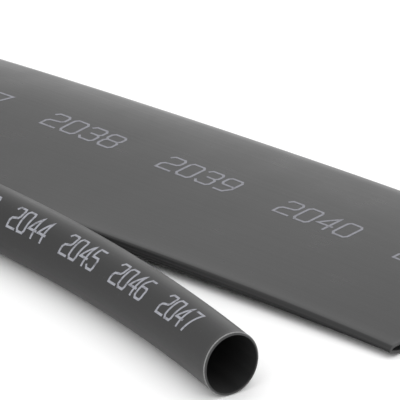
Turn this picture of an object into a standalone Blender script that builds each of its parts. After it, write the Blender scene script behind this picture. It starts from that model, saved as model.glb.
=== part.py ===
"""Two cut lengths of black heat-shrink tubing: a wide sleeve that lies flat and a small round one.

Metres, with +Z up.  The origin is the middle of the wide sleeve's underside, on the surface that
both sleeves lie on.  The wide sleeve runs along X.  The small sleeve lies beside it on the -Y side.
"""

from math import atan2, cos, exp, pi, radians, sin, tan, tanh

import bmesh
import bpy
from mathutils import Euler

MM = 0.001

CUT_LENGTH = 100 * MM

# The wide sleeve: nominal bore 18 mm, supplied a little wider than that and flattened on its reel.
WIDE_WIDTH = 28.8 * MM
WIDE_WALL = 0.27 * MM
WIDE_CAMBER_RADIUS = 1050 * MM
# How high the top wall stands at its two folds in the middle of the length.  At a cut end, where
# the blade pinched the sleeve, every one of these sizes is less by what is named PINCH.
NEAR_TOP = 1.90 * MM
NEAR_TOP_PINCH = 0.80 * MM
FAR_TOP = 0.99 * MM
FAR_TOP_PINCH = 0.24 * MM
FAR_EDGE_PINCH = 1.0 * MM
FOLD_THICKNESS = 0.93 * MM
FOLD_THICKNESS_PINCH = 0.20 * MM
# The underside lies flat in the middle and curves up to the folds over this width.
FOLD_LIFT_REACH = 7 * MM
FOLD_LIFT_REACH_PINCH = 4.5 * MM
PINCH_LENGTH = 15 * MM
# The top wall swells between its folds.
TOP_SWELL = 0.5 * MM
# In its -X half it swells further, most of all at this reach from its +Y fold.
SHOULDER_HEIGHT = 1.5 * MM
SHOULDER_REACH = 14 * MM
SHOULDER_RUN = 16 * MM

# The small sleeve: nominal bore 5 mm, supplied expanded to 5.6 mm, still round.
SMALL_OUTER_RADIUS = 3.03 * MM
SMALL_WALL = 0.22 * MM
# It keeps the bend of its coil: a gentle arc behind its mouth, a tighter one, then a straight tail.
SMALL_FRONT_LENGTH = 43 * MM
SMALL_FRONT_BEND_RADIUS = 156.3 * MM
SMALL_MIDDLE_LENGTH = 21 * MM
SMALL_MIDDLE_BEND_RADIUS = 120 * MM
SMALL_PLACE = (1.12 * MM, -18.93 * MM, 0.0)
SMALL_TURN = radians(-7.5)
# Its mouth is cut a little off square: set back on the +Y side, and at the top.
MOUTH_CUT_SIDEWAYS = radians(6.4)
MOUTH_CUT_BACK = radians(4.0)

WIDE_RINGS = 18
WIDE_WALL_STEPS = 12
FOLD_STEPS = 6
SMALL_RINGS = 24
# The side counts are multiples of 4, so that one corner of each ring starts out on +X.
SMALL_SIDES = 24

BLACK_POLYOLEFIN = (0.018, 0.018, 0.018, 1)


def clear_scene():
    for thing in list(bpy.data.objects):
        bpy.data.objects.remove(thing, do_unlink=True)


def make_collection(name):
    collection = bpy.data.collections.new(name)
    bpy.context.scene.collection.children.link(collection)
    return collection


def make_plastic(name, colour, roughness):
    material = bpy.data.materials.new(name)
    material.use_nodes = True
    shader = material.node_tree.nodes["Principled BSDF"]
    shader.inputs["Base Color"].default_value = colour
    shader.inputs["Roughness"].default_value = roughness
    shader.inputs["Metallic"].default_value = 0
    return material


def arc_point(distance, radius):
    """A point this far along an arc that leaves the origin along +X and bends towards -Y."""
    turned = distance / radius
    return radius * sin(turned), radius * (cos(turned) - 1), -turned


def fold_arc(y, z, radius, start, end):
    """The points of a half-round fold about (y, z), without its last point."""
    turns = [start + (end - start) * step / FOLD_STEPS for step in range(FOLD_STEPS)]
    return [(y + radius * cos(turn), z + radius * sin(turn)) for turn in turns]


def wide_outline(along):
    """The wide sleeve's outer outline at this place on its length, as (y, z), from the -Y end
    of the underside round by the +Y fold, the top and the -Y fold."""
    to_ends = (CUT_LENGTH / 2 - along, CUT_LENGTH / 2 + along)
    pinch = sum(exp(-distance / PINCH_LENGTH) for distance in to_ends)
    near_top = NEAR_TOP - NEAR_TOP_PINCH * pinch
    far_top = FAR_TOP - FAR_TOP_PINCH * pinch
    radius = (FOLD_THICKNESS - FOLD_THICKNESS_PINCH * pinch) / 2
    near_lift = near_top - 2 * radius
    far_lift = far_top - 2 * radius
    near_y = radius - WIDE_WIDTH / 2
    far_y = WIDE_WIDTH / 2 - FAR_EDGE_PINCH * pinch - radius
    reach = FOLD_LIFT_REACH - FOLD_LIFT_REACH_PINCH * pinch
    shoulder = SHOULDER_HEIGHT * (1 - tanh(along / SHOULDER_RUN)) / 2 * (1 - pinch)

    def underside(y):
        near = max(0, 1 - (y - near_y) / reach)
        far = max(0, 1 - (far_y - y) / reach)
        return near_lift * near**2 + far_lift * far**2

    def top(y):
        across = (y - near_y) / (far_y - near_y)
        level = near_top + (far_top - near_top) * across**3
        from_far = (far_y - y) / SHOULDER_REACH
        swell = TOP_SWELL * (across - across**4)
        return level + swell + shoulder * across * from_far * exp(1 - from_far)

    shares = [step / WIDE_WALL_STEPS for step in range(WIDE_WALL_STEPS)]
    below = [near_y + (far_y - near_y) * share for share in shares]
    above = [far_y + (near_y - far_y) * share for share in shares]
    outline = [(y, underside(y)) for y in below]
    outline += fold_arc(far_y, far_lift + radius, radius, -pi / 2, pi / 2)
    outline += [(y, top(y)) for y in above]
    outline += fold_arc(near_y, near_lift + radius, radius, pi / 2, 3 * pi / 2)
    return outline


def place_wide(fraction, side):
    """The place of corner number side of the ring at this fraction of the length."""
    along = -cos(pi * fraction) * CUT_LENGTH / 2
    y, z = wide_outline(along)[side]
    x, bend, heading = arc_point(along, WIDE_CAMBER_RADIUS)
    return x - y * sin(heading), bend + y * cos(heading), z


def small_middle(along):
    """The small sleeve's centreline at this distance ahead of where its two arcs meet."""
    if along > 0:
        return arc_point(along, SMALL_FRONT_BEND_RADIUS)
    bent = min(-along, SMALL_MIDDLE_LENGTH)
    straight = -along - bent
    x, bend, heading = arc_point(bent, SMALL_MIDDLE_BEND_RADIUS)
    return -x - straight * cos(heading), bend + straight * sin(heading), -heading


def place_small(fraction, side):
    """The place of corner number side of the ring at this fraction of the length."""
    turn = 2 * pi * side / SMALL_SIDES
    y = SMALL_OUTER_RADIUS * cos(turn)
    z = SMALL_OUTER_RADIUS * sin(turn)
    along = SMALL_FRONT_LENGTH - CUT_LENGTH * (1 - fraction)
    if fraction == 1:
        along -= y * tan(MOUTH_CUT_SIDEWAYS) + z * tan(MOUTH_CUT_BACK)
    x, bend, heading = small_middle(along)
    return x - y * sin(heading), bend + y * cos(heading), SMALL_OUTER_RADIUS + z


def make_sleeve(name, sides, rings, place, wall, collection):
    """An open-ended tube whose rings are reshaped by place(fraction, side), with an inward wall."""
    form = bmesh.new()
    bmesh.ops.create_cone(form, cap_ends=False, segments=sides, radius1=1, radius2=1, depth=1)
    lengthwise = [e for e in form.edges if abs(e.verts[0].co.z - e.verts[1].co.z) > 0.5]
    bmesh.ops.subdivide_edges(form, edges=lengthwise, cuts=rings - 1)
    for vertex in form.verts:
        x, y, z = vertex.co
        side = round(atan2(y, x) / (2 * pi) * sides) % sides
        vertex.co = place(round((z + 0.5) * rings) / rings, side)
    mesh = bpy.data.meshes.new(name)
    form.to_mesh(mesh)
    form.free()
    mesh.shade_smooth()
    sleeve = bpy.data.objects.new(name, mesh)
    collection.objects.link(sleeve)
    shell = sleeve.modifiers.new("wall", "SOLIDIFY")
    shell.thickness = wall
    shell.offset = -1
    shell.use_even_offset = True
    return sleeve


def main():
    clear_scene()
    collection = make_collection("heat_shrink_sleeves")
    middle = bpy.data.objects.new("sleeves_origin", None)
    collection.objects.link(middle)

    wide_sides = 2 * (WIDE_WALL_STEPS + FOLD_STEPS)
    wide = make_sleeve("wide_tube", wide_sides, WIDE_RINGS, place_wide, WIDE_WALL, collection)
    wide.data.materials.append(make_plastic("wide_tube_plastic", BLACK_POLYOLEFIN, 0.45))
    wide.parent = middle

    small = make_sleeve(
        "small_tube", SMALL_SIDES, SMALL_RINGS, place_small, SMALL_WALL, collection
    )
    small.data.materials.append(make_plastic("small_tube_plastic", BLACK_POLYOLEFIN, 0.45))
    small.location = SMALL_PLACE
    small.rotation_euler = Euler((0, 0, SMALL_TURN))
    small.parent = middle


main()
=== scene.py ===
"""The looks of two cut lengths of black heat-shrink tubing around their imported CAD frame.

A wide sleeve lies flat along X, with a fold down each side.  A small round sleeve lies beside it on
the -Y side.  Both are thin walls of black plastic, open at each end, with running numbers printed
along them.  Everything is in metres, in the frame's own axes, with the floor at z = 0.
"""

from math import ceil, cos, exp, hypot, pi, radians, sin, tan, tanh

import bpy
from mathutils import Euler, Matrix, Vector, noise


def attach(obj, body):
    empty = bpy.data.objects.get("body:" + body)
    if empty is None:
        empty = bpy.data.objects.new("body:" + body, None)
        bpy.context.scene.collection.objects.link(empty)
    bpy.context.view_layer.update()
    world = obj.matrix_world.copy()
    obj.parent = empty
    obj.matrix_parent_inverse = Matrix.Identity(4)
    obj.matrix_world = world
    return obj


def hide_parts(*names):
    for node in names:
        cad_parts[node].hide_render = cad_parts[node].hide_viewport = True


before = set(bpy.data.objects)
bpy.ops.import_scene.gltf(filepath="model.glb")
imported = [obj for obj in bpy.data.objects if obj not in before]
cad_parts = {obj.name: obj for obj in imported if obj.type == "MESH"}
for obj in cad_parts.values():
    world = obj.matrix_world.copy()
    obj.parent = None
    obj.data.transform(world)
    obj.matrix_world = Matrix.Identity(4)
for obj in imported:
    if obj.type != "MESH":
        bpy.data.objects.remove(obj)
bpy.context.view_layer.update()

MM = 0.001

# ---- The sleeves' real shape, as in the CAD ----

CUT_LENGTH = 100 * MM

WIDE_WIDTH = 28.8 * MM
WIDE_WALL = 0.27 * MM
WIDE_CAMBER_RADIUS = 1050 * MM
# How high the top wall stands at its two folds in the middle of the length.  At a cut end, where
# the blade pinched the sleeve, every one of these sizes is less by what is named PINCH.
NEAR_TOP = 1.90 * MM
NEAR_TOP_PINCH = 0.80 * MM
FAR_TOP = 0.99 * MM
FAR_TOP_PINCH = 0.24 * MM
FAR_EDGE_PINCH = 1.0 * MM
FOLD_THICKNESS = 0.93 * MM
FOLD_THICKNESS_PINCH = 0.20 * MM
PINCH_LENGTH = 15 * MM
# The top wall swells between its folds.
TOP_SWELL = 0.5 * MM
# In its -X half it swells further, most of all at this reach from its +Y edge.
SHOULDER_HEIGHT = 1.5 * MM
SHOULDER_REACH = 14 * MM
SHOULDER_RUN = 16 * MM
# The underside lies flat in the middle and curves up to the folds over this width.
FOLD_LIFT_REACH = 7 * MM
FOLD_LIFT_REACH_PINCH = 4.5 * MM

SMALL_OUTER_RADIUS = 3.03 * MM
SMALL_WALL = 0.22 * MM
# It keeps the bend of its coil: a gentle arc behind its mouth, a tighter one, then a straight tail.
SMALL_FRONT_LENGTH = 43 * MM
SMALL_FRONT_BEND_RADIUS = 156.3 * MM
SMALL_MIDDLE_LENGTH = 21 * MM
SMALL_MIDDLE_BEND_RADIUS = 120 * MM
SMALL_PLACE = Vector((1.12 * MM, -18.93 * MM, 0.0))
SMALL_TURN = radians(-7.5)
# Its mouth is cut a little off square: set back on the +Y side, and at the top.
MOUTH_CUT_SIDEWAYS = radians(6.4)
MOUTH_CUT_BACK = radians(4.0)

# ---- Finer shape, which only the looks have ----

# The blade crushed the folds further than the CAD has room for, until the walls almost touch.
FOLD_CRUSH = 0.28 * MM
SLIMMEST_GAP = 0.02 * MM
SLIMMEST_FOLD = 0.15 * MM
# The wide sleeve's +X cut is a little off square: its -Y corner stands forward.
WIDE_CUT_SIDEWAYS = radians(1.3)
# The slant of a mouth's cut eases off over this length behind it.
MOUTH_CUT_REACH = 4 * MM
# How far each fold's nose reaches out past the ends of the walls.
NEAR_FOLD_REACH = 0.52 * MM
FAR_FOLD_REACH = 1.9 * MM
# A bead stands on the top wall along the near fold.
FOLD_BEAD = 0.04 * MM
FOLD_BEAD_PLACE = 0.55 * MM
FOLD_BEAD_REACH = 0.75 * MM
# A crease runs along each fold's nose, at this turn round it in radians.
CREASE_TURN = 0.72
CREASE_SPREAD = 0.15
# Each fold's roundness, its lean and its crease's height.  The near one is boxy and leans down.
NEAR_FOLD_SHAPE = (0.8, 4.0, 0.05 * MM)
FAR_FOLD_SHAPE = (1.0, 1.0, 0.012 * MM)
# The wide sleeve's top wanders a little from its smooth shape, and less towards its folds.
WAVE_HEIGHT = 0.02 * MM
WAVE_LENGTH = 14 * MM
WAVE_FADE = 4
# A cut edge is rounded, and the blade has pushed up a fine burr on its outside.
EDGE_ROUND = 0.05 * MM
BURR_HEIGHT = 0.025 * MM
BURR_REACH = 0.25 * MM
# How far a cut face slopes back for its depth: from the bore out, or if below 0 from outside in.
WIDE_CUT_SLOPE = -0.6
SMALL_CUT_SLOPE = 0.9

WIDE_STATIONS = 150
WIDE_WALL_STEPS = 60
FOLD_STEPS = 36
SMALL_STATIONS = 130
SMALL_SIDES = 96
ROUND_STEPS = 3
# The order of a sleeve's materials.
OUTSIDE, BORE, EDGE, CUT = range(4)

# ---- The printed numbers, drawn with single strokes in a unit box ----

DIGIT_STROKES = {
    "0": [[(0.15, 0), (0, 0.12), (0, 0.88), (0.15, 1), (0.85, 1), (1, 0.88), (1, 0.12), (0.85, 0),
           (0.15, 0)]],
    "1": [[(0.2, 0.75), (0.62, 1), (0.62, 0)]],
    "2": [[(0, 0.88), (0.15, 1), (0.85, 1), (1, 0.88), (1, 0.6), (0.85, 0.5), (0.15, 0.42),
           (0, 0.3), (0, 0), (1, 0)]],
    "3": [[(0, 0.88), (0.15, 1), (0.85, 1), (1, 0.88), (1, 0.62), (0.85, 0.52), (0.35, 0.52)],
          [(0.85, 0.52), (1, 0.4), (1, 0.12), (0.85, 0), (0.15, 0), (0, 0.12)]],
    "4": [[(0.8, 0), (0.8, 1), (0, 0.32), (1, 0.32)]],
    "5": [[(0.95, 1), (0.08, 1), (0.04, 0.55), (0.85, 0.55), (1, 0.43), (1, 0.12), (0.85, 0),
           (0.15, 0), (0, 0.1)]],
    "6": [[(0.9, 1), (0.3, 1), (0, 0.7), (0, 0.12), (0.15, 0), (0.85, 0), (1, 0.12), (1, 0.42),
           (0.85, 0.54), (0, 0.54)]],
    "7": [[(0, 1), (1, 1), (0.4, 0)]],
    "8": [[(0.15, 0.52), (0, 0.64), (0, 0.88), (0.15, 1), (0.85, 1), (1, 0.88), (1, 0.64),
           (0.85, 0.52), (0.15, 0.52), (0, 0.4), (0, 0.12), (0.15, 0), (0.85, 0), (1, 0.12),
           (1, 0.4), (0.85, 0.52)]],
    "9": [[(0.1, 0), (0.7, 0), (1, 0.3), (1, 0.88), (0.85, 1), (0.15, 1), (0, 0.88), (0, 0.58),
           (0.15, 0.46), (1, 0.46)]],
}
# How far a stroke stands proud, how much more the next one does where they cross, how deep it
# reaches into the wall, and the length of its steps along a curved surface.
INK_PROUD = 0.012 * MM
INK_LAYER = 0.002 * MM
INK_DEPTH = 0.03 * MM
INK_STEP = 0.25 * MM

FIRST_NUMBER = 2036

# Where a sleeve's print line runs, how it drifts, and how its numbers are spaced along it.
WIDE_PRINT_Y = 2.45 * MM
WIDE_PRINT_DRIFT = -0.023
WIDE_FIRST = 17.6 * MM
WIDE_INTERVAL = 15.14 * MM
WIDE_COUNT = 6
WIDE_DIGIT = (1.75 * MM, 2.95 * MM)
WIDE_DIGIT_PITCH = 2.45 * MM
WIDE_STROKE = 0.27 * MM

SMALL_PRINT_TURN = radians(117.3)
SMALL_PRINT_DRIFT = radians(10) / (33 * MM)
SMALL_FIRST = 3.6 * MM
SMALL_INTERVAL = 8.1 * MM
SMALL_COUNT = 12
SMALL_DIGIT = (1.02 * MM, 2.35 * MM)
SMALL_DIGIT_PITCH = 1.42 * MM
SMALL_STROKE = 0.24 * MM

# ---- Finish ----

BLACK = (0.0110, 0.0110, 0.0112, 1)
DUSTY_BLACK = (0.0200, 0.0201, 0.0206, 1)
WIDE_CUT_FACE = (0.0400, 0.0400, 0.0400, 1)
SMALL_CUT_FACE = (0.0500, 0.0500, 0.0500, 1)
# The outer edge of the cut is painted pale: partly the whitening from the blade's pressure, and
# partly a painted highlight along the rim.
WIDE_EDGE_WHITENING_AND_HIGHLIGHT = (0.0550, 0.0550, 0.0550, 1)
SMALL_EDGE_WHITENING_AND_HIGHLIGHT = (0.2800, 0.2800, 0.2800, 1)
DULL_BORE = (0.0300, 0.0300, 0.0300, 1)
WIDE_INK = (0.195, 0.197, 0.222, 1)
SMALL_INK = (0.270, 0.276, 0.308, 1)
THIN_INK = (0.11, 0.11, 0.125, 1)
FLOOR_WHITE = (0.93, 0.93, 0.93, 1)
PLASTIC_IOR = 1.4
WIDE_ROUGHNESS = 0.31
SMALL_ROUGHNESS = 0.40
# The number of marks for each metre along a sleeve and round it.
OUTSIDE_LINES = (12, 2600)
BORE_LINES = (12, 1800)
# The number of marks for each metre.
HANDLING_MARKS = 160
PLASTIC_GRAIN = 5200
DUST_SPECKS = 2600
BLADE_MARKS = 16000
INK_PATCHES = 2200
# How deep each of them is.
LINE_DEPTH = 0.004 * MM
GRAIN_DEPTH = 0.0025 * MM
BLADE_DEPTH = 0.002 * MM
INK_PATCH_DEPTH = 0.003 * MM

# ---- Stage ----

CAMERA_AZIMUTH = radians(38.4)
CAMERA_ELEVATION = radians(25.0)
CAMERA_TARGET = Vector((14.06 * MM, 0.79 * MM, 0.0))
CAMERA_DISTANCE = 523.4 * MM
CAMERA_LENS = 478.4
SENSOR_WIDTH = 36
NEAREST_SEEN = 0.01
FARTHEST_SEEN = 20
FLOOR_SIZE = 8.0
SKY_STRENGTH = 1.31


# ---- Shape functions ----


def arc_point(distance, radius):
    """A point this far along an arc that leaves the origin along +X and bends towards -Y."""
    turned = distance / radius
    return radius * sin(turned), radius * (cos(turned) - 1), -turned


class WideSection:
    """The wide sleeve's section at one place on its length, this deep below its outside."""

    def __init__(self, along, depth=0.0):
        ends = (CUT_LENGTH / 2 - along, CUT_LENGTH / 2 + along)
        pinch = sum(exp(-distance / PINCH_LENGTH) for distance in ends)
        self.along = along
        self.depth = depth
        self.near_edge = -WIDE_WIDTH / 2
        self.far_edge = WIDE_WIDTH / 2 - FAR_EDGE_PINCH * pinch
        self.near_top = NEAR_TOP - NEAR_TOP_PINCH * pinch
        self.far_top = FAR_TOP - FAR_TOP_PINCH * pinch
        self.thickness = FOLD_THICKNESS - (FOLD_THICKNESS_PINCH + FOLD_CRUSH) * pinch
        self.lift_reach = FOLD_LIFT_REACH - FOLD_LIFT_REACH_PINCH * pinch
        self.shoulder = SHOULDER_HEIGHT * (1 - tanh(along / SHOULDER_RUN)) / 2 * (1 - pinch)

    def top(self, y):
        across = (y - self.near_edge) / (self.far_edge - self.near_edge)
        level = self.near_top + (self.far_top - self.near_top) * across**3
        swell = TOP_SWELL * (across - across**4)
        from_bead = y - self.near_edge - FOLD_BEAD_PLACE
        bead = FOLD_BEAD * exp(-((from_bead / FOLD_BEAD_REACH) ** 2))
        from_far = (self.far_edge - y) / SHOULDER_REACH
        shoulder = self.shoulder * across * from_far * exp(1 - from_far)
        return level + swell + shoulder + bead + self.wave(y)

    def under(self, y):
        near = max(0, 1 - (y - self.near_edge) / self.lift_reach)
        far = max(0, 1 - (self.far_edge - y) / self.lift_reach)
        lift = (self.near_top - self.thickness) * near**2
        return lift + (self.far_top - self.thickness) * far**2

    def walls(self, y):
        """The two walls' heights here, kept apart where the fold is crushed flat."""
        low, high = self.under(y) + self.depth, self.top(y) - self.depth
        middle, half = (low + high) / 2, max(high - low, SLIMMEST_GAP) / 2
        return middle - half, middle + half

    def wave(self, y):
        fade = min(1, WAVE_FADE * max(0, 1 - abs(y) / (WIDE_WIDTH / 2)))
        return WAVE_HEIGHT * fade * noise.noise(Vector((self.along, y, 0)) / WAVE_LENGTH)

    def fold(self, side, edge, reach, shape):
        """The fold at this edge, up from the underside at +Y or down from the top at -Y."""
        points = []
        roundness, lean, crease = shape
        for step in range(FOLD_STEPS):
            turn = side * pi * (step / FOLD_STEPS - 0.5)
            out = reach * max(0, cos(turn)) ** roundness
            out += crease * exp(-(((turn - CREASE_TURN) / CREASE_SPREAD) ** 2))
            y = edge + side * (out - reach)
            low, high = self.walls(y)
            points.append((y, low + (high - low) * ((1 + sin(turn)) / 2) ** lean))
        return points

    def outline(self):
        """Round the section as (y, z), from the -Y end of the underside and anticlockwise."""
        near_reach = max(SLIMMEST_FOLD, NEAR_FOLD_REACH - self.depth)
        far_reach = max(SLIMMEST_FOLD, FAR_FOLD_REACH - self.depth)
        near, far = self.near_edge + self.depth, self.far_edge - self.depth
        start, end = near + near_reach, far - far_reach
        shares = [step / WIDE_WALL_STEPS for step in range(WIDE_WALL_STEPS)]
        below = [start + (end - start) * share for share in shares]
        above = [end + (start - end) * share for share in shares]
        points = [(y, self.walls(y)[0]) for y in below]
        points += self.fold(1, far, far_reach, FAR_FOLD_SHAPE)
        points += [(y, self.walls(y)[1]) for y in above]
        return points + self.fold(-1, near, near_reach, NEAR_FOLD_SHAPE)


def wide_outline(along, depth):
    return WideSection(along, depth).outline()


def wide_place(along, y, z):
    """The point (y, z) of the wide sleeve's section at this distance along its bent centreline."""
    x, bend, heading = arc_point(along, WIDE_CAMBER_RADIUS)
    return Vector((x - y * sin(heading), bend + y * cos(heading), max(0, z)))


def small_outline(along, depth):
    """Round the small sleeve's section as (y, z) about its middle, anticlockwise from +Y.  It's
    the same all along."""
    radius = SMALL_OUTER_RADIUS - depth
    turns = [2 * pi * side / SMALL_SIDES for side in range(SMALL_SIDES)]
    return [(radius * cos(turn), radius * sin(turn)) for turn in turns]


def small_middle(along):
    """The small sleeve's centreline: an arc, a tighter arc behind it and a straight tail."""
    if along > 0:
        return arc_point(along, SMALL_FRONT_BEND_RADIUS)
    bent = min(-along, SMALL_MIDDLE_LENGTH)
    x, bend, heading = arc_point(bent, SMALL_MIDDLE_BEND_RADIUS)
    straight = -along - bent
    return -x - straight * cos(heading), bend + straight * sin(heading), -heading


def small_place(along, y, z):
    """The point (y, z) about the small sleeve's middle, this far along its bent centreline."""
    x, bend, heading = small_middle(along)
    height = max(0, SMALL_OUTER_RADIUS + z)
    point = Vector((x - y * sin(heading), bend + y * cos(heading), height))
    point.rotate(Euler((0, 0, SMALL_TURN)))
    return point + SMALL_PLACE


def wide_cut(to_front, y, z):
    """How far the wide sleeve's slanting mouth is set back, easing off behind it."""
    return exp(-((to_front / MOUTH_CUT_REACH) ** 2)) * y * tan(WIDE_CUT_SIDEWAYS)


def small_cut(to_front, y, z):
    """How far the small sleeve's slanting mouth is set back, easing off behind it."""
    ease = exp(-((to_front / MOUTH_CUT_REACH) ** 2))
    return ease * (y * tan(MOUTH_CUT_SIDEWAYS) + z * tan(MOUTH_CUT_BACK))


# ---- Meshes ----


def spaced(count, low, high):
    """Places from low to high, closer together towards both."""
    return [low + (high - low) * (1 - cos(pi * step / count)) / 2 for step in range(count + 1)]


def rim_profile(wall, slope):
    """The sloping cut face, rounded at both edges, from outside to bore as
    (set back, depth, finish)."""
    corner = []
    for step in range(1, ROUND_STEPS + 1):
        turn = pi / 2 * step / ROUND_STEPS
        corner.append((EDGE_ROUND * (1 - sin(turn)), EDGE_ROUND * (1 - cos(turn))))
    profile = [(back, depth, EDGE) for back, depth in corner]
    profile += [(back, wall - depth, CUT) for back, depth in reversed(corner)]
    high_depth = wall if slope > 0 else 0
    return [(back + slope * (high_depth - depth), depth, part) for back, depth, part in profile]


def burr(to_end):
    """How far the outside stands up at this distance from a cut."""
    return BURR_HEIGHT * exp(-((to_end / BURR_REACH) ** 2))


def tube_path(low, high, count, wall, slope):
    """Every loop of a tube as (along, depth, finish): down its outside, in over the cut face at
    its high end, back along its bore, and out over the cut face at its low end."""
    rim = rim_profile(wall, slope)
    end = EDGE_ROUND + abs(slope) * wall
    places = spaced(count, low + end, high - end)
    outside = [(at, -burr(min(high - at, at - low) - end), OUTSIDE) for at in places]
    inside = [(at, wall, BORE) for at in reversed(places)]
    high_face = [(high - back, depth, part) for back, depth, part in rim]
    low_face = [(low + back, depth, part) for back, depth, part in reversed(rim)]
    return outside + high_face + inside + low_face


def lengths_round(outline):
    """The distance round a closed outline to each of its points, and on to the first again."""
    total = [0.0]
    for here, (y, z) in enumerate(outline):
        after = outline[(here + 1) % len(outline)]
        total.append(total[-1] + hypot(after[0] - y, after[1] - z))
    return total


def make_tube(name, section, place, cut, low, high, count, wall, slope, materials):
    """An open-ended tube with a UV map in metres: along it, and round it.  section gives its
    outline, place puts a point of that into the frame, and cut sets its high end back."""
    path = tube_path(low, high, count, wall, slope)
    around = lengths_round(section((low + high) / 2, 0))
    sides = len(around) - 1
    points = []
    for along, depth, _ in path:
        for y, z in section(along, depth):
            points.append(place(along - cut(high - along, y, z), y, z))
    faces, face_materials, corners = [], [], []
    for here in range(len(path)):
        after = (here + 1) % len(path)
        for side in range(sides):
            other = (side + 1) % sides
            faces.append([here * sides + side, here * sides + other, after * sides + other,
                          after * sides + side])
            face_materials.append(max(path[here][2], path[after][2]))
            for step, edge in ((here, side), (here, side + 1), (after, side + 1), (after, side)):
                corners += [path[step][0] + path[step][1], around[edge]]
    mesh = bpy.data.meshes.new(name)
    mesh.from_pydata(points, [], faces)
    mesh.uv_layers.new(name="sleeve").data.foreach_set("uv", corners)
    for material in materials:
        mesh.materials.append(material)
    mesh.polygons.foreach_set("material_index", face_materials)
    mesh.shade_smooth()
    tube = bpy.data.objects.new(name, mesh)
    bpy.context.scene.collection.objects.link(tube)
    return tube


# ---- Print ----


def resample(stroke):
    """A stroke's points with more between them, none more than INK_STEP apart."""
    points = [Vector(stroke[0])]
    for corner in stroke[1:]:
        start, run = points[-1], Vector(corner) - points[-1]
        steps = ceil(run.length / INK_STEP)
        points += [start + run * step / steps for step in range(1, steps + 1)]
    return points


def ribbon_edges(points, width):
    """The left and right edges of a ribbon along these points, with square ends and mitres."""
    left, right = [], []
    for here, point in enumerate(points):
        before = (point - points[here - 1]).normalized() if here else None
        after = (points[here + 1] - point).normalized() if here + 1 < len(points) else None
        way = (before or after) + (after or before)
        way.normalize()
        side = Vector((-way.y, way.x))
        reach = width / 2 / max(0.5, way.dot(after or before))
        extend = way * (width / 2) * ((before is not None) - (after is not None))
        left.append(point + side * reach + extend)
        right.append(point - side * reach + extend)
    return left, right


def add_ribbon(stroke, width, proud, surface, points, faces):
    """A closed flat ribbon of ink that follows surface(u, v, height)."""
    left, right = ribbon_edges(resample(stroke), width)
    first = len(points)
    for a, b in zip(left, right):
        points += [surface(a.x, a.y, proud), surface(b.x, b.y, proud)]
        points += [surface(b.x, b.y, -INK_DEPTH), surface(a.x, a.y, -INK_DEPTH)]
    for here in range(len(left) - 1):
        base = first + 4 * here
        for side in range(4):
            other = (side + 1) % 4
            faces.append([base + side, base + other, base + 4 + other, base + 4 + side])
    last = first + 4 * (len(left) - 1)
    faces.append([first + 3, first + 2, first + 1, first])
    faces.append([last, last + 1, last + 2, last + 3])


def make_print(name, marks, digit, pitch, width, surface, material):
    """Ink on a surface: marks are (distance along, characters), each centred at its place."""
    points, faces = [], []
    wide, high = digit
    for middle, characters in marks:
        for order, character in enumerate(characters):
            centre = middle + (order - (len(characters) - 1) / 2) * pitch
            for layer, stroke in enumerate(DIGIT_STROKES[character]):
                drawn = [(centre + (u - 0.5) * wide, (v - 0.5) * high) for u, v in stroke]
                proud = INK_PROUD + INK_LAYER * layer
                add_ribbon(drawn, width, proud, surface, points, faces)
    mesh = bpy.data.meshes.new(name)
    mesh.from_pydata(points, [], faces)
    mesh.materials.append(material)
    mesh.validate()
    ink = bpy.data.objects.new(name, mesh)
    bpy.context.scene.collection.objects.link(ink)
    return ink


def wide_surface(u, v, height):
    """The point this far along the wide sleeve's top and across it from the print line."""
    y = WIDE_PRINT_Y + WIDE_PRINT_DRIFT * u + v
    return wide_place(u, y, WideSection(u).top(y) + height)


def small_surface(u, v, height):
    """The point this far along the small sleeve and round it from the print line."""
    turn = SMALL_PRINT_TURN + (SMALL_FRONT_LENGTH - u) * SMALL_PRINT_DRIFT
    turn -= v / SMALL_OUTER_RADIUS
    radius = SMALL_OUTER_RADIUS + height
    return small_place(u, radius * cos(turn), radius * sin(turn))


def running_numbers(low, first, interval, count):
    """Numbers that count up along a sleeve from its cut at low, each with its middle's place."""
    return [(low + first + step * interval, str(FIRST_NUMBER + step)) for step in range(count)]


# ---- Materials ----


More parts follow.
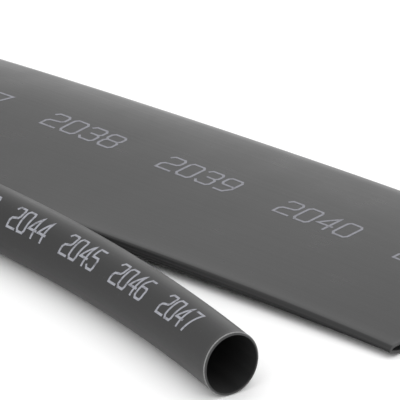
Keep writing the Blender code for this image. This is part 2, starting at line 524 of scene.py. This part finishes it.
class Nodes:
    """A material's node tree, with short ways to add and join nodes."""

    def __init__(self, name):
        self.material = bpy.data.materials.new(name)
        self.material.use_nodes = True
        self.tree = self.material.node_tree
        self.shader = self.tree.nodes["Principled BSDF"]

    def add(self, kind, **settings):
        node = self.tree.nodes.new(kind)
        for setting, value in settings.items():
            setattr(node, setting, value)
        return node

    def join(self, source, target):
        self.tree.links.new(source, target)

    def stretched(self, scales):
        """The sleeve's UV map in metres, scaled by this much along it and round it."""
        uv = self.add("ShaderNodeUVMap", uv_map="sleeve")
        mapping = self.add("ShaderNodeMapping")
        mapping.inputs["Scale"].default_value = (*scales, 1)
        self.join(uv.outputs["UV"], mapping.inputs["Vector"])
        return mapping.outputs["Vector"]

    def solid(self):
        """Places in the piece itself, in metres."""
        return self.add("ShaderNodeTexCoord").outputs["Object"]

    def noise(self, vector, scale, detail=2.0, roughness=0.5):
        texture = self.add("ShaderNodeTexNoise")
        texture.inputs["Scale"].default_value = scale
        texture.inputs["Detail"].default_value = detail
        texture.inputs["Roughness"].default_value = roughness
        self.join(vector, texture.inputs["Vector"])
        return texture.outputs["Fac"]

    def spread(self, value, low, high, to_low, to_high):
        """The value taken from the range low..high to the range to_low..to_high."""
        node = self.add("ShaderNodeMapRange")
        for number, setting in enumerate((low, high, to_low, to_high), start=1):
            node.inputs[number].default_value = setting
        self.join(value, node.inputs["Value"])
        return node.outputs["Result"]

    def add_values(self, first, second):
        node = self.add("ShaderNodeMath", operation="ADD")
        self.join(first, node.inputs[0])
        self.join(second, node.inputs[1])
        return node.outputs["Value"]

    def mix(self, share, first, second):
        node = self.add("ShaderNodeMix", data_type="RGBA")
        self.join(share, node.inputs["Factor"])
        node.inputs["A"].default_value = first
        node.inputs["B"].default_value = second
        return node.outputs["Result"]

    def bump(self, height):
        """A bump from a height in metres."""
        node = self.add("ShaderNodeBump")
        node.inputs["Strength"].default_value = 1.0
        node.inputs["Distance"].default_value = 1.0
        self.join(height, node.inputs["Height"])
        self.join(node.outputs["Normal"], self.shader.inputs["Normal"])


def sleeve_plastic(name, roughness):
    """Satin black extruded plastic: die lines along it, a fine grain, and a trace of dust."""
    made = Nodes(name)
    made.shader.inputs["IOR"].default_value = PLASTIC_IOR
    lines = made.noise(made.stretched(OUTSIDE_LINES), 1.0, detail=3)
    handling = made.noise(made.solid(), HANDLING_MARKS, detail=4, roughness=0.6)
    grain = made.noise(made.solid(), PLASTIC_GRAIN, detail=2)
    specks = made.noise(made.solid(), DUST_SPECKS, detail=1)
    dust = made.add_values(made.spread(specks, 0.70, 0.76, 0, 0.8),
                           made.spread(handling, 0.45, 0.75, 0, 0.35))
    made.join(made.mix(dust, BLACK, DUSTY_BLACK), made.shader.inputs["Base Color"])
    rough = made.add_values(made.spread(handling, 0.3, 0.7, roughness - 0.04, roughness + 0.04),
                            made.spread(lines, 0.3, 0.7, -0.02, 0.02))
    made.join(rough, made.shader.inputs["Roughness"])
    height = made.add_values(made.spread(lines, 0, 1, 0, LINE_DEPTH),
                             made.spread(grain, 0, 1, 0, GRAIN_DEPTH))
    made.bump(height)
    return made.material


def cut_plastic(name, cut_face):
    """The blade's cut across the wall: paler, rougher, with fine marks along the cut. On the outer
    edge the pale colour is partly a painted highlight along the rim.
    """
    made = Nodes(name)
    made.shader.inputs["IOR"].default_value = PLASTIC_IOR
    marks = made.noise(made.solid(), BLADE_MARKS, detail=2)
    made.join(made.mix(made.spread(marks, 0.3, 0.7, 0.4, 1), BLACK, cut_face),
              made.shader.inputs["Base Color"])
    made.join(made.spread(marks, 0.3, 0.7, 0.42, 0.6), made.shader.inputs["Roughness"])
    made.bump(made.spread(marks, 0, 1, 0, BLADE_DEPTH))
    return made.material


def bore_plastic(name):
    """The dull inside of the extrusion."""
    made = Nodes(name)
    made.shader.inputs["IOR"].default_value = PLASTIC_IOR
    lines = made.noise(made.stretched(BORE_LINES), 1.0, detail=2)
    made.join(made.mix(made.spread(lines, 0.35, 0.65, 0, 1), DUSTY_BLACK, DULL_BORE),
              made.shader.inputs["Base Color"])
    made.join(made.spread(lines, 0.3, 0.7, 0.5, 0.62), made.shader.inputs["Roughness"])
    made.bump(made.spread(lines, 0, 1, 0, LINE_DEPTH))
    return made.material


def marking_ink(name, ink):
    """Matte pale ink that has taken unevenly on the plastic."""
    made = Nodes(name)
    patches = made.noise(made.solid(), INK_PATCHES, detail=3, roughness=0.7)
    made.join(made.mix(made.spread(patches, 0.32, 0.5, 0, 1), THIN_INK, ink),
              made.shader.inputs["Base Color"])
    made.join(made.spread(patches, 0.3, 0.7, 0.5, 0.65), made.shader.inputs["Roughness"])
    made.bump(made.spread(patches, 0, 1, 0, INK_PATCH_DEPTH))
    return made.material


# ---- The pieces ----


def finishes(name, roughness, edge, cut_face):
    """A sleeve's materials, in the order of OUTSIDE, BORE, EDGE and CUT."""
    return [sleeve_plastic(name + "_outside", roughness),
            bore_plastic(name + "_bore"),
            # The edge's pale colour is partly the blade's whitening and partly a painted highlight
            # along the rim.
            cut_plastic(name + "_edge", edge),
            cut_plastic(name + "_cut", cut_face)]


def make_wide_sleeve():
    sleeve = make_tube("wide_sleeve_wall", wide_outline, wide_place, wide_cut, -CUT_LENGTH / 2,
                       CUT_LENGTH / 2, WIDE_STATIONS, WIDE_WALL, WIDE_CUT_SLOPE,
                       finishes("wide_sleeve", WIDE_ROUGHNESS, WIDE_EDGE_WHITENING_AND_HIGHLIGHT, WIDE_CUT_FACE))
    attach(sleeve, "wide_sleeve")
    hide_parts("wide_tube")
    numbers = running_numbers(-CUT_LENGTH / 2, WIDE_FIRST, WIDE_INTERVAL, WIDE_COUNT)
    print_line = make_print("wide_sleeve_numbers", numbers, WIDE_DIGIT, WIDE_DIGIT_PITCH,
                            WIDE_STROKE, wide_surface, marking_ink("wide_sleeve_ink", WIDE_INK))
    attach(print_line, "wide_sleeve")


def make_small_sleeve():
    start = SMALL_FRONT_LENGTH - CUT_LENGTH
    sleeve = make_tube("small_sleeve_wall", small_outline, small_place, small_cut, start,
                       SMALL_FRONT_LENGTH, SMALL_STATIONS, SMALL_WALL, SMALL_CUT_SLOPE,
                       finishes("small_sleeve", SMALL_ROUGHNESS, SMALL_EDGE_WHITENING_AND_HIGHLIGHT, SMALL_CUT_FACE))
    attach(sleeve, "small_sleeve")
    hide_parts("small_tube")
    numbers = running_numbers(start, SMALL_FIRST, SMALL_INTERVAL, SMALL_COUNT)
    print_line = make_print("small_sleeve_numbers", numbers, SMALL_DIGIT, SMALL_DIGIT_PITCH,
                            SMALL_STROKE, small_surface, marking_ink("small_sleeve_ink", SMALL_INK))
    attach(print_line, "small_sleeve")


# ---- Stage ----


def make_floor():
    mesh = bpy.data.meshes.new("floor")
    half = FLOOR_SIZE / 2
    mesh.from_pydata([(-half, -half, 0), (half, -half, 0), (half, half, 0), (-half, half, 0)], [],
                     [(0, 1, 2, 3)])
    made = Nodes("floor_white")
    made.shader.inputs["Base Color"].default_value = FLOOR_WHITE
    made.shader.inputs["Roughness"].default_value = 1.0
    made.shader.inputs["Specular IOR Level"].default_value = 0.0
    mesh.materials.append(made.material)
    floor = bpy.data.objects.new("floor", mesh)
    bpy.context.scene.collection.objects.link(floor)


def make_sky():
    world = bpy.data.worlds.new("white_studio")
    world.use_nodes = True
    background = world.node_tree.nodes["Background"]
    background.inputs["Color"].default_value = (1, 1, 1, 1)
    background.inputs["Strength"].default_value = SKY_STRENGTH
    bpy.context.scene.world = world


def make_camera():
    data = bpy.data.cameras.new("camera")
    data.lens = CAMERA_LENS
    data.sensor_width = SENSOR_WIDTH
    data.clip_start = NEAREST_SEEN
    data.clip_end = FARTHEST_SEEN
    camera = bpy.data.objects.new("camera", data)
    back = Vector((sin(CAMERA_AZIMUTH) * cos(CAMERA_ELEVATION),
                   -cos(CAMERA_AZIMUTH) * cos(CAMERA_ELEVATION), sin(CAMERA_ELEVATION)))
    camera.location = CAMERA_TARGET + back * CAMERA_DISTANCE
    camera.rotation_euler = back.to_track_quat("Z", "Y").to_euler()
    bpy.context.scene.collection.objects.link(camera)
    bpy.context.scene.camera = camera


def main():
    bpy.context.scene.view_settings.view_transform = "Standard"
    make_camera()
    make_sky()
    make_floor()
    make_wide_sleeve()
    make_small_sleeve()


main()
